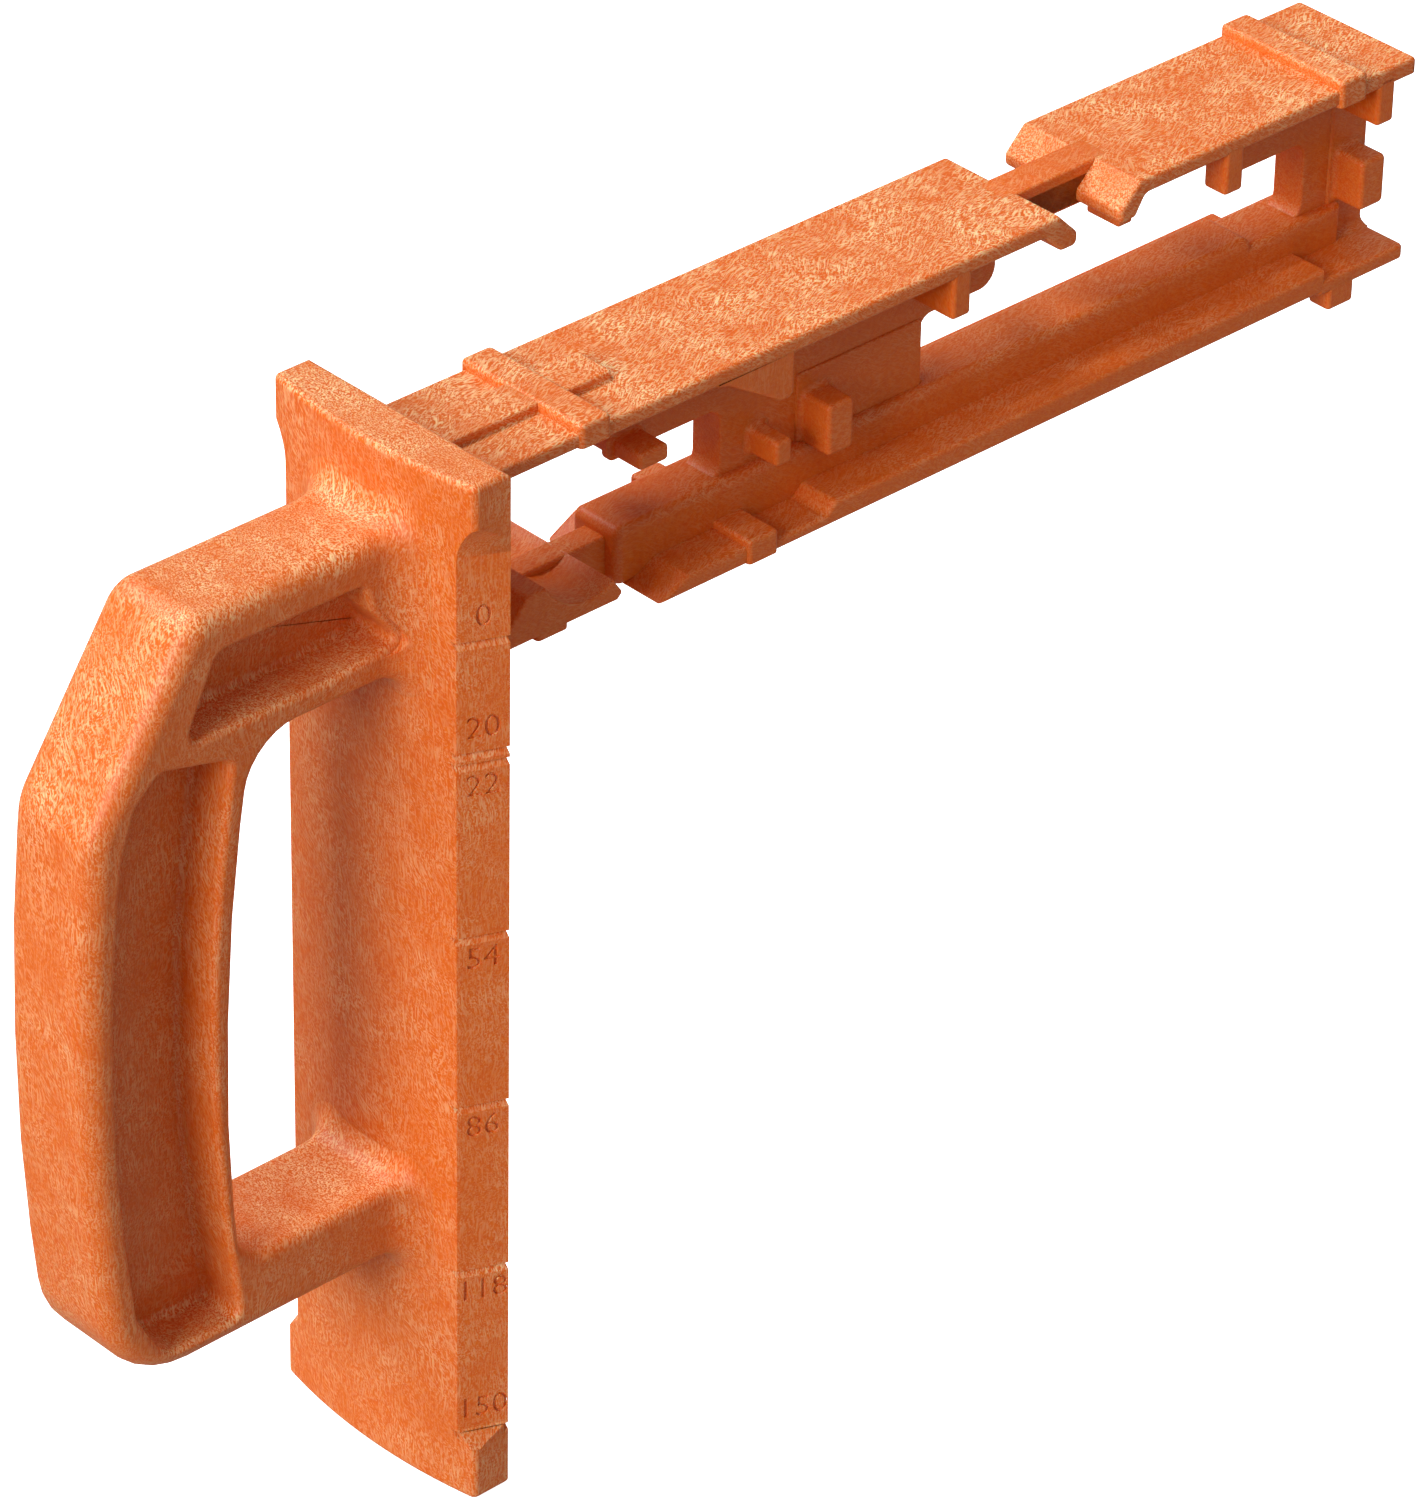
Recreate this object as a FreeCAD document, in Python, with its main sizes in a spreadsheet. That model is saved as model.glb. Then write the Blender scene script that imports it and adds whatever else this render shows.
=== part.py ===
import FreeCAD, Part
import os
import Sketcher

# Marking template for drawer runners: a toothed scale plate with a D-handle on
# its front and a long I-section arm on its back. Millimetres, +Z up.
# Origin: centre line of the plate's flat back face, at the zero graduation.

os.makedirs("parts", exist_ok=True)
doc = FreeCAD.newDocument("marking_template")
sheet = doc.addObject("Spreadsheet::Sheet", "Sizes")

DIMENSIONS = {
    # scale plate
    "plate_half": 23.3,
    "plate_edge": 7.2,
    "plate_mid": 9.3,
    "crown_half": 12.0,
    "plate_top": 28.5,
    "plate_foot": 162.5,
    "facet_run": 3.4,
    "facet_top": 18.8,
    "facet_foot": 151.5,
    "notch_deep": 1.2,
    "notch_high": 1.5,
    # handle
    "grip_half": 10.0,
    "core_deep": 8.8,
    "strut_top": 16.3,
    "grip_front": 73.4,
    "grip_foot": 118.3,
    # arm, upper flange
    "arm_half": 13.5,
    "arm_top": 22.0,
    "front_skin": 2.6,
    "rear_skin": 2.95,
    "nose_drop": 6.6,
    "nose_front": 126.6,
    "nose_rear": 144.7,
    "arm_end": 210.2,
    "rib_high": 1.7,
    "rib_lap": 0.6,
    "rib_front": 22.6,
    "rib_wide": 6.4,
    "end_rib": 191.4,
    "strip_half": 4.1,
    "strip_high": 1.5,
    "strip_end": 38.2,
    # arm, web and pegs
    "web_half": 3.3,
    "thick_web": 3.7,
    "web_low": 7.0,
    "neck_low": 14.9,
    "peg_reach": 10.0,
    "lug_low": 11.7,
    "lug_in": 8.4,
    "block_front": 62.0,
    "block_step": 78.2,
    "block_back": 105.8,
    "post_front": 195.0,
    "post_step": 201.0,
    # arm, lower rail
    "spine_half": 5.5,
    "spine_top": 5.2,
    "thin_half": 2.5,
    "thin_top": 7.4,
    "rail_foot": 15.8,
    "rail_top": 11.7,
    "rail_step": 77.7,
    "rail_back": 189.4,
    "saddle_foot": 11.1,
    "groove_r": 8.4,
    "end_sheet": 2.3,
}


class Dim:
    """A number together with the spreadsheet expression that yields it."""

    def __init__(self, value, text):
        self.value = float(value)
        self.text = text

    def __add__(self, other):
        other = dim(other)
        return Dim(self.value + other.value, "(" + self.text + " + " + other.text + ")")

    def __sub__(self, other):
        other = dim(other)
        return Dim(self.value - other.value, "(" + self.text + " - " + other.text + ")")

    def __mul__(self, factor):
        return Dim(self.value * factor, "(" + self.text + " * " + repr(float(factor)) + ")")

    def __neg__(self):
        return self * -1


def dim(item):
    """Turn a plain number into a Dim; leave a Dim as it is."""
    if isinstance(item, Dim):
        return item
    return Dim(item, "(" + repr(float(item)) + ")")


class Table:
    """Named sizes, readable as attributes once they are in the sheet."""


S = Table()
for row, (alias, value) in enumerate(DIMENSIONS.items(), start=1):
    sheet.set("A" + str(row), alias)
    sheet.set("B" + str(row), str(value))
    sheet.setAlias("B" + str(row), alias)
    setattr(S, alias, Dim(value, "Sizes." + alias))
doc.recompute()

SIDES = (("right", 1), ("left", -1))
NOTCH_RAMP = -38.0
PLANES = {"XY": "XY_Plane", "XZ": "XZ_Plane", "YZ": "YZ_Plane"}
AXES = {"XY": "z", "XZ": "y", "YZ": "x"}
nodes = []


def origin_plane(body, plane):
    """The body's own origin plane of the given name."""
    for feature in body.Origin.OriginFeatures:
        if feature.Name.startswith(PLANES[plane]):
            return feature
    raise ValueError(plane)


def vector(point):
    return FreeCAD.Vector(dim(point[0]).value, dim(point[1]).value, 0)


def bind(sketch, constraint, item):
    """Add one driving constraint and tie it to its expression."""
    index = sketch.addConstraint(constraint)
    sketch.setExpression("Constraints[" + str(index) + "]", item.text)


def outline(sketch, points):
    """Closed outline. A point is (a, b); an arc end is (a, b, (mid_a, mid_b))."""
    count = len(points)
    for index, start in enumerate(points):
        end = points[(index + 1) % count]
        if len(end) == 3:
            curve = Part.Arc(vector(start), vector(end[2]), vector(end))
            sketch.addGeometry(curve, False)
        else:
            sketch.addGeometry(Part.LineSegment(vector(start), vector(end)), False)
    arcs = [len(points[(i + 1) % count]) == 3 for i in range(count)]
    for index, start in enumerate(points):
        end = points[(index + 1) % count]
        flipped = False
        if arcs[index]:
            first = sketch.getPoint(index, 1)
            flipped = (first - vector(start)).Length > 1e-6
            radius = sketch.Geometry[index].Radius
            sketch.addConstraint(Sketcher.Constraint("Radius", index, radius))
        head, tail = (2, 1) if flipped else (1, 2)
        following = (index + 1) % count
        next_head = 1
        if arcs[following]:
            first = sketch.getPoint(following, 1)
            next_head = 2 if (first - vector(end)).Length > 1e-6 else 1
        sketch.addConstraint(
            Sketcher.Constraint("Coincident", index, tail, following, next_head))
        for word, item in (("DistanceX", start[0]), ("DistanceY", start[1])):
            item = dim(item)
            if abs(item.value) < 1e-9:
                target = -2 if word == "DistanceX" else -1
                sketch.addConstraint(
                    Sketcher.Constraint("PointOnObject", index, head, target))
                continue
            constraint = Sketcher.Constraint(word, -1, 1, index, head, item.value)
            bind(sketch, constraint, item)


def new_sketch(body, plane, label, level=None):
    """A sketch on one of the body's origin planes, raised by level along its axis."""
    sketch = body.newObject("Sketcher::SketchObject", label)
    sketch.AttachmentSupport = [(origin_plane(body, plane), "")]
    sketch.MapMode = "FlatFace"
    if level is not None:
        away = -level if plane == "XZ" else level
        sketch.setExpression(".AttachmentOffset.Base.z", away.text)
    return sketch


def prism(label, plane, points, low, high):
    """A body: one outline padded along the plane's axis from low to high."""
    low, high = dim(low), dim(high)
    body = doc.addObject("PartDesign::Body", label)
    body.Label = label
    sketch = new_sketch(body, plane, label + "_outline", low)
    outline(sketch, points)
    pad = body.newObject("PartDesign::Pad", label + "_pad")
    pad.Profile = sketch
    pad.Reversed = plane == "XZ"
    pad.setExpression("Length", (high - low).text)
    pad.Length = (high - low).value
    nodes.append(body)
    return body


def pocket(body, plane, points, low, high, tag):
    """Cut one outline out of a body between low and high."""
    low, high = dim(low), dim(high)
    doc.recompute()
    start = low if plane == "XZ" else high
    sketch = new_sketch(body, plane, body.Label + "_" + tag, start)
    if len(points) == 2:
        centre, radius = points
        circle = Part.Circle(vector(centre), FreeCAD.Vector(0, 0, 1), radius.value)
        sketch.addGeometry(circle, False)
        for word, item in (("DistanceX", centre[0]), ("DistanceY", centre[1])):
            item = dim(item)
            bind(sketch, Sketcher.Constraint(word, -1, 1, 0, 3, item.value), item)
        bind(sketch, Sketcher.Constraint("Radius", 0, radius.value), radius)
    else:
        outline(sketch, points)
    cut = body.newObject("PartDesign::Pocket", body.Label + "_" + tag + "_cut")
    cut.Profile = sketch
    cut.setExpression("Length", (high - low).text)
    cut.Length = (high - low).value
    return cut


def edges_where(shape, rule):
    """Names of the edges for which rule(edge) holds."""
    return ["Edge" + str(i) for i, edge in enumerate(shape.Edges, 1) if rule(edge)]


def soften(body, radius, rule, tag="soft"):
    """Round the chosen edges of a body."""
    doc.recompute()
    tip = body.Tip
    names = edges_where(tip.Shape, rule)
    if not names:
        raise RuntimeError("no edges to round on " + body.Label)
    fillet = body.newObject("PartDesign::Fillet", body.Label + "_" + tag)
    fillet.Base = (tip, names)
    fillet.Radius = radius
    doc.recompute()
    if not fillet.isValid() or fillet.Shape.isNull() or not fillet.Shape.isValid():
        raise RuntimeError("rounding failed on " + body.Label)
    return fillet


def block(label, x_span, y_span, z_span):
    """A rectangular sub-part given by its three spans."""
    box = doc.addObject("Part::Box", label)
    box.Label = label
    for size, axis, span in (("Length", "x", x_span), ("Width", "y", y_span),
                             ("Height", "z", z_span)):
        low, high = dim(span[0]), dim(span[1])
        box.setExpression(size, (high - low).text)
        box.setExpression(".Placement.Base." + axis, low.text)
    nodes.append(box)
    return box


def span(side, near, far):
    """The X span from near to far on one side of the centre line."""
    near, far = dim(near), dim(far)
    return (near, far) if side > 0 else (-far, -near)


# --- scale plate -----------------------------------------------------------

plate = prism("scale_plate", "XY",
              [(-S.plate_half, 0), (S.plate_half, 0), (S.plate_half, -S.plate_edge),
               (S.crown_half, -S.plate_mid), (-S.crown_half, -S.plate_mid),
               (-S.plate_half, -S.plate_edge)],
              -S.plate_foot, S.plate_top)

for name, side in SIDES:
    edge = S.plate_half * side
    outer = edge + 3.0 * side
    inner = edge - S.facet_run * 1.3 * side
    pocket(plate, "XY",
           [(edge, 0), (outer, 0), (outer, -S.plate_edge * 1.5), (inner, -S.plate_edge * 1.42)],
           -S.facet_foot, S.facet_top, "facet_" + name)

# Each graduation is a sawtooth groove in the right-hand facet: its flat upper
# flank is the line to mark from, and the ramp below guides the pencil point.
GRADUATIONS = (0, 20, 22, 54, 86, 118, 150)
root = S.plate_half - S.notch_deep
outer = S.plate_half + 4.0
wedge = [(root + 1.3, 3.0), (outer, 3.0), (outer, -13.0), (root - 4.5, -10.4)]
for mark in GRADUATIONS:
    level = -dim(mark)
    groove = pocket(plate, "XY", wedge, level - S.notch_high, level, "notch_" + str(mark))
    groove.TaperAngle = NOTCH_RAMP

# --- handle ----------------------------------------------------------------

# The pieces of the handle meet on these lines: across the shoulder under the
# upper pocket, and straight down where the lower strut leaves the grip.
SHOULDER = [(-36.5, -10.65), (-42.0, -6.7), (-52.0, -4.9), (-63.4, -2.6)]
FOOT_Y = -41.0
floor_depth = S.grip_half - S.core_deep

strut = prism("handle_upper_strut", "YZ",
              [(-S.plate_mid, -9.0), (-S.plate_mid, S.strut_top), (-51.0, S.strut_top),
               SHOULDER[3], SHOULDER[2], SHOULDER[1], SHOULDER[0],
               (-31.0, -9.0, (-33.9, -9.42))],
              -S.grip_half, S.grip_half)
UPPER_CORE = [(-16.6, 9.2), (-15.0, 4.6), (-11.6, -3.4), (-24.2, -4.2), (-34.0, -4.8),
              (-51.0, -4.2), (-52.6, -1.0), (-46.6, 9.6)]
for name, side in SIDES:
    low, high = span(side, floor_depth, S.grip_half)
    pocket(strut, "YZ", UPPER_CORE, low, high, "core_" + name)

grip = prism("handle_grip", "YZ",
             [SHOULDER[0], SHOULDER[1], SHOULDER[2], SHOULDER[3], (-70.6, -13.6),
              (-71.3, -99.0, (-S.grip_front, -55.0)), (-57.0, -S.grip_foot, (-67.3, -112.6)),
              (FOOT_Y, -S.grip_foot), (FOOT_Y, -103.9), (-44.2, -97.0, (-43.4, -101.4)),
              (-41.0, -19.0, (-45.1, -62.0))],
             -S.grip_half, S.grip_half)
GRIP_CORE = [(-43.6, -10.4), (-46.5, -9.4), (-57.5, -7.2), (-61.2, -9.2), (-65.4, -19.0),
             (-66.8, -90.0, (-68.2, -60.0)), (-64.6, -104.5), (-58.6, -111.4),
             (-52.5, -114.4), (-44.6, -114.4), (-44.6, -111.5), (-47.6, -99.7),
             (-44.8, -19.0, (-48.9, -62.0))]
for name, side in SIDES:
    low, high = span(side, floor_depth, S.grip_half)
    pocket(grip, "YZ", GRIP_CORE, low, high, "core_" + name)

lower = prism("handle_lower_strut", "YZ",
              [(-S.plate_mid, -S.grip_foot), (-S.plate_mid, -104.5), (-37.0, -104.5),
               (FOOT_Y, -103.9), (FOOT_Y, -S.grip_foot)],
              -S.grip_half, S.grip_half)

# --- arm, upper flange -----------------------------------------------------

front_under = S.arm_top - S.front_skin
rear_under = S.arm_top - S.rear_skin
sheet_under = S.arm_top - S.rear_skin - 0.35
lip = S.arm_top - S.nose_drop
end_start = S.end_rib + S.rib_wide

FRONT_NOSE = [(S.nose_front, S.arm_top), (S.nose_front + 4.2, S.arm_top - 4.2),
              (S.nose_front + 4.2, lip + 0.9), (S.nose_front + 3.2, lip),
              (S.nose_front + 1.2, lip), (S.nose_front - 3.2, rear_under)]
REAR_NOSE = [(S.nose_rear + 1.6, rear_under), (S.nose_rear - 0.6, lip + 0.2),
             (S.nose_rear - 2.6, lip - 0.2), (S.nose_rear - 4.2, lip + 0.9),
             (S.nose_rear - 4.2, S.arm_top - 4.2), (S.nose_rear, S.arm_top)]
prism("upper_flange_front", "YZ",
      [(0, front_under), (0, S.arm_top)] + FRONT_NOSE
      + [(S.rib_front, rear_under), (S.rib_front, front_under)],
      -S.arm_half, S.arm_half)
prism("upper_flange_rear", "YZ",
      [(end_start, S.arm_top), (end_start, rear_under)] + REAR_NOSE,
      -S.arm_half, S.arm_half)
block("upper_end_plate", (-S.arm_half, S.arm_half), (end_start, S.arm_end),
      (sheet_under, S.arm_top))

RIBS = (("front_cross_rib", S.rib_front, front_under), ("end_cross_rib", S.end_rib, sheet_under))
for name, start, foot in RIBS:
    rib_top = S.arm_top + S.rib_high
    wide = S.arm_half + S.rib_lap
    prism(name, "XZ",
          [(-wide, foot), (-S.arm_half, foot), (-S.arm_half, S.arm_top), (S.arm_half, S.arm_top),
           (S.arm_half, foot), (wide, foot), (wide, rib_top), (-wide, rib_top)],
          start, start + S.rib_wide)

strip_top = S.arm_top + S.strip_high
block("centre_strip_front", (-S.strip_half, S.strip_half), (0, S.rib_front),
      (S.arm_top, strip_top))
block("centre_strip_rear", (-S.strip_half, S.strip_half), (S.rib_front + S.rib_wide, S.strip_end),
      (S.arm_top, strip_top))

# --- arm, web --------------------------------------------------------------

WEB_START = 38.6
WEB_STOP = 122.6
prism("neck_bar", "YZ",
      [(WEB_STOP, S.neck_low), (WEB_STOP, rear_under)] + FRONT_NOSE[::-1]
      + REAR_NOSE[::-1] + [(S.nose_rear + 1.6, S.neck_low)],
      -S.web_half, S.web_half)
prism("front_web_hanger", "YZ",
      [(WEB_START, S.web_low), (WEB_STOP - 3.6, S.web_low),
       (WEB_STOP, S.web_low + 3.6, (WEB_STOP - 1.05, S.web_low + 1.05)),
       (WEB_STOP, rear_under), (WEB_START, rear_under)],
      -S.web_half, S.web_half)
prism("rear_web_hanger", "YZ",
      [(S.nose_rear + 1.6, S.neck_low), (174.4, S.neck_low), (174.4, S.web_low + 3.6),
       (178.0, S.web_low, (175.45, S.web_low + 1.05)), (S.post_step, S.web_low),
       (S.post_step, sheet_under), (end_start, sheet_under), (end_start, rear_under),
       (S.nose_rear + 1.6, rear_under)],
      -S.web_half, S.web_half)
block("web_block_front", (-S.web_half, S.web_half), (S.block_front, S.block_step),
      (-S.spine_top, S.web_low))
block("web_block_rear", (-S.thick_web, S.thick_web), (S.block_step, S.block_back),
      (-S.spine_top, S.web_low))
block("end_post_front", (-S.web_half, S.web_half), (S.post_front, S.post_step),
      (-S.spine_top - 1.6, S.web_low))
block("end_post_rear", (-S.thick_web, S.thick_web), (S.post_step, S.arm_end),
      (-S.rail_foot + S.end_sheet, sheet_under))

for name, side in SIDES:
    reach = span(side, S.web_half, S.peg_reach)
    thick_reach = span(side, S.thick_web, S.peg_reach)
    full = span(side, S.web_half, S.arm_half)
    thick_full = span(side, S.thick_web, S.arm_half)
    outer_lug = span(side, S.lug_in, S.arm_half)
    block("front_peg_" + name, reach, (WEB_START, 44.8), (7.5, 10.5))
    block("small_peg_" + name, reach, (67.9, 71.5), (-3.4, 1.2))
    block("large_peg_" + name, thick_reach, (79.3, 85.0), (-5.2, 3.4))
    block("end_peg_" + name, thick_reach, (202.4, 208.2), (-6.2, 3.1))
    block("hanger_rib_" + name, full, (102.8, 106.9), (S.lug_low, rear_under))
    block("rear_lug_" + name, outer_lug, (165.0, 169.3), (S.lug_low, rear_under))
    block("end_rib_under_" + name, thick_full, (201.3, 205.4), (S.lug_low, sheet_under))
    low, high = span(side, 4.3, 11.7)
    prism("nose_ledge_" + name, "YZ",
          [(141.9, 13.6), (144.1, 13.6), (144.1, lip + 0.2), (142.1, lip - 0.2),
           (141.9, lip - 0.0625)],
          low, high)
    low, high = span(side, S.arm_half - 4.0, S.arm_half)
    prism("side_gusset_" + name, "YZ",
          [(51.6, rear_under), (54.6, rear_under - 0.9), (65.6, 11.4), (67.4, 11.4),
           (68.2, 12.2), (68.2, rear_under)],
          low, high)

# --- arm, lower rail -------------------------------------------------------

rail_under = -S.rail_foot
rail_level = -S.rail_top
sheet_top = rail_under + S.end_sheet
saddle_under = -S.saddle_foot
prism("thin_spine", "YZ",
      [(0, saddle_under), (32.3, saddle_under), (36.0, rail_under), (S.strip_end, rail_under),
       (S.strip_end, -S.thin_top), (0, -S.thin_top)],
      -S.thin_half, S.thin_half)
prism("lower_spine", "YZ",
      [(S.strip_end, rail_under), (S.rail_back, rail_under), (S.rail_back, sheet_top),
       (S.post_step, sheet_top), (S.post_step, -S.spine_top - 1.6),
       (180.0, -S.spine_top - 1.6), (180.0, -S.spine_top), (S.strip_end, -S.spine_top)],
      -S.spine_half, S.spine_half)
block("lower_end_plate", (-S.arm_half, S.arm_half), (S.rail_back, S.arm_end),
      (rail_under - 0.5, sheet_top))
block("saddle_foot", (-S.arm_half, S.arm_half), (14.4, 20.9), (saddle_under - 1.0, saddle_under))

for name, side in SIDES:
    low, high = span(side, S.thin_half, S.arm_half)
    prism("front_saddle_" + name, "YZ",
          [(0, saddle_under), (0, -9.4), (6.8, -9.4), (12.4, -2.9), (16.1, -2.9),
           (30.4, -7.3, (23.0, -8.2)), (32.3, -9.8), (32.3, -10.2), (31.2, saddle_under)],
          low, high)
    low, high = span(side, S.spine_half, S.arm_half)
    prism("lower_flange_front_" + name, "YZ",
          [(40.3, rail_under), (S.rail_step, rail_under), (S.rail_step, rail_level),
           (77.0, -11.9), (75.7, -13.7), (65.0, -13.7), (65.0, -12.6), (46.2, -12.6),
           (40.1, -15.3)],
          low, high)
    block("lower_rail_" + name, (low, high), (S.rail_step, S.rail_back), (rail_under, rail_level))
    inner, outer = S.spine_half * side, S.arm_half * side
    lap = outer + S.rib_lap * side
    prism("lower_cross_rib_" + name, "XZ",
          [(inner, -12.6), (outer, -12.6), (outer, rail_under), (lap, rail_under),
           (lap, -11.3), (inner, -11.3)],
          58.6, 65.0)
    lug = span(side, 8.7, S.arm_half)
    block("end_lug_" + name, lug, (192.1, 198.3), (-20.0, rail_under - 0.5))

# --- checks and export -----------------------------------------------------

doc.recompute()
for item in doc.Objects:
    if "Invalid" in item.State or "Error" in item.State:
        raise RuntimeError("bad state: " + item.Label)
for node in nodes:
    shape = node.Shape
    if shape.isNull() or not shape.isValid() or len(shape.Solids) != 1:
        raise RuntimeError("bad solid: " + node.Label)
    shape.exportStep(os.path.join("parts", node.Label + ".step"))
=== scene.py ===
import math

import bmesh
import bpy
from mathutils import Matrix, Vector


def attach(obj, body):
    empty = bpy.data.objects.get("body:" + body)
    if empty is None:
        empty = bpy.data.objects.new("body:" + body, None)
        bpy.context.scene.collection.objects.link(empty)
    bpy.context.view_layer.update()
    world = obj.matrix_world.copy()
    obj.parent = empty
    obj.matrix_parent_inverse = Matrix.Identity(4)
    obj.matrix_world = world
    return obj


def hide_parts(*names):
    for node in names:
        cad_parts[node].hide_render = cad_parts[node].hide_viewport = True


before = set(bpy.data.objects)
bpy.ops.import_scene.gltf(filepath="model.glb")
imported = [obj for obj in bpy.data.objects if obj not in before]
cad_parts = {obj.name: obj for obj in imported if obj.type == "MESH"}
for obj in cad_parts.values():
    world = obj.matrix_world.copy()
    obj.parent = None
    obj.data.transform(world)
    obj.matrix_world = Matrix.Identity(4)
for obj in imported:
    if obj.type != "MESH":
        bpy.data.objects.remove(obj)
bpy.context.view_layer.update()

bl_info = {
    "name": "Runner marking template",
    "version": (1, 0, 0),
    "blender": (4, 5, 0),
    "location": "3D View > Sidebar > Template",
    "description": "Builds a moulded marking template with its scale plate, handle and arm",
    "category": "Object",
}

MM = 0.001
BODY = "root"
GRADUATIONS = (0, 20, 22, 54, 86, 118, 150)
NUMBER_ABOVE = (0, 20, 150)
SIDES = (("right", 1), ("left", -1))
# How strongly the fibre streaks and the painted sheen on upward faces show: more on the
# plate, handle and upper deck, less on the web, pegs and lower rail.
FIBRE_AND_SHEEN_BROAD = 1.0
FIBRE_AND_SHEEN_THIN = 0.35


def linear(hex_colour):
    """A hex sRGB colour as linear red, green and blue."""
    values = [int(hex_colour[i:i + 2], 16) / 255 for i in (1, 3, 5)]
    return [v / 12.92 if v <= 0.04045 else ((v + 0.055) / 1.055) ** 2.4 for v in values]


def length(name, description, millimetres):
    """A length property given in millimetres."""
    return bpy.props.FloatProperty(name=name, description=description, min=0,
                                   default=millimetres * MM, unit="LENGTH", subtype="DISTANCE")


def colour(name, description, hex_colour):
    """A colour property given as sRGB hex."""
    return bpy.props.FloatVectorProperty(name=name, description=description, min=0, max=1,
                                         size=3, default=linear(hex_colour), subtype="COLOR")


class TEMPLATE_PG_sizes(bpy.types.PropertyGroup):
    """Sizes of the moulding."""

    plate_half: length("Plate half width", "Middle of the plate to its side", 23.3)
    plate_edge: length("Plate edge", "Thickness of the plate at its sides", 7.24)
    plate_middle: length("Plate middle", "Thickness at the crown of the plate", 9.75)
    plate_top: length("Plate top", "Height of the plate above the zero mark", 28.5)
    plate_foot: length("Plate foot", "Depth of the plate below the zero mark", 162.5)
    notch_depth: length("Notch depth", "Depth of a graduation groove", 1.15)
    number_height: length("Number height", "Height of the engraved numbers", 4.0)
    number_depth: length("Number depth", "Depth of the engraved numbers", 0.4)
    grip_half: length("Grip half width", "Half the width of the handle", 10.0)
    grip_round: length("Grip rounding", "Radius on the outside of the handle", 3.5)
    core_floor: length("Core floor", "Half the thickness left between the cored pockets", 1.2)
    root_round: length("Root rounding", "Radius where the handle meets the plate", 5.0)
    arm_half: length("Arm half width", "Half the width of the arm's flanges", 13.5)
    web_half: length("Web half width", "Half the thickness of the web", 3.3)
    thick_web: length("Thick web", "Half the thickness of the web's thick panels", 3.7)
    spine_half: length("Spine half width", "Half the width of the lower spine", 5.5)
    edge: length("Edge radius", "Radius on the moulding's outer edges", 0.8)
    peg_root: length("Peg root", "Radius where a peg leaves the web", 1.0)


class TEMPLATE_PG_finish(bpy.types.PropertyGroup):
    """Colours and grain of the moulded plastic."""

    body: colour("Body", "Colour of the pigmented polymer", "#E37012")
    deep: colour("Deep", "Colour where the surface is rich in polymer", "#CF4E06")
    fibre: colour("Fibre", "Colour of glass fibre lying at the surface", "#FAD09A")
    roughness: bpy.props.FloatProperty(name="Roughness", description="Roughness of the skin",
                                       default=0.46, min=0, max=1, subtype="FACTOR")
    fibre_length: length("Fibre length", "Length of a visible fibre streak", 3.0)
    fibre_width: length("Fibre width", "Width of a visible fibre streak", 0.27)


# --- moulding helpers, all in millimetres -----------------------------------

AXES = {"X": Vector((1, 0, 0)), "Y": Vector((0, 1, 0)), "Z": Vector((0, 0, 1))}


def at(axis, a, b, level):
    """The point (a, b) of a plane across the axis, at a level along it."""
    return Vector({"X": (level, a, b), "Y": (a, level, b), "Z": (a, b, level)}[axis])


def corner_reach(before, corner, after, radius):
    """How far a rounding of the radius reaches along the two edges, and its turn."""
    to_before = (Vector(before[:2]) - Vector(corner[:2])).normalized()
    to_after = (Vector(after[:2]) - Vector(corner[:2])).normalized()
    half = math.acos(max(-1, min(1, to_before.dot(to_after)))) / 2
    return radius / math.tan(half), math.pi - 2 * half


def round_corner(bm, vert, reach, turn):
    """Round one corner of a flat face."""
    segments = max(4, math.ceil(math.degrees(turn) / 12))
    bmesh.ops.bevel(bm, geom=[vert], offset=reach, offset_type="OFFSET", segments=segments,
                    profile=0.5, affect="VERTICES", material=-1, clamp_overlap=False)


def rounded_face(axis, corners):
    """A flat face whose corners are (a, b) or (a, b, radius)."""
    bm = bmesh.new()
    verts = [bm.verts.new(at(axis, c[0], c[1], 0)) for c in corners]
    bm.faces.new(verts)
    for i, corner in enumerate(corners):
        if len(corner) == 3 and corner[2] > 0:
            reach, turn = corner_reach(corners[i - 1], corner, corners[(i + 1) % len(corners)],
                                       corner[2])
            round_corner(bm, verts[i], reach, turn)
    return bm


def thicken(bm, axis, low, high, tips=(0, 0), over=(0, 0)):
    """Raise the only face into a solid. A tip above zero rounds that end's rim, one
    below zero flares it into a root fillet, and over runs on past the end."""
    start = low + abs(tips[0])
    stop = high - abs(tips[1])
    bmesh.ops.translate(bm, verts=bm.verts[:], vec=AXES[axis] * start)
    first = bm.faces[:][0]
    made = bmesh.ops.extrude_face_region(bm, geom=[first])["geom"]
    last = [g for g in made if isinstance(g, bmesh.types.BMFace)][0]
    bmesh.ops.translate(bm, verts=last.verts[:], vec=AXES[axis] * (stop - start))
    bmesh.ops.recalc_face_normals(bm, faces=bm.faces[:])
    for face, tip, extra in ((first, tips[0], over[0]), (last, tips[1], over[1])):
        finish_end(bm, [face], tip, extra)
    bmesh.ops.recalc_face_normals(bm, faces=bm.faces[:])
    return bm


SMALL_TIP = 1.3
TIP_STEPS = (4, 6)


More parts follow.
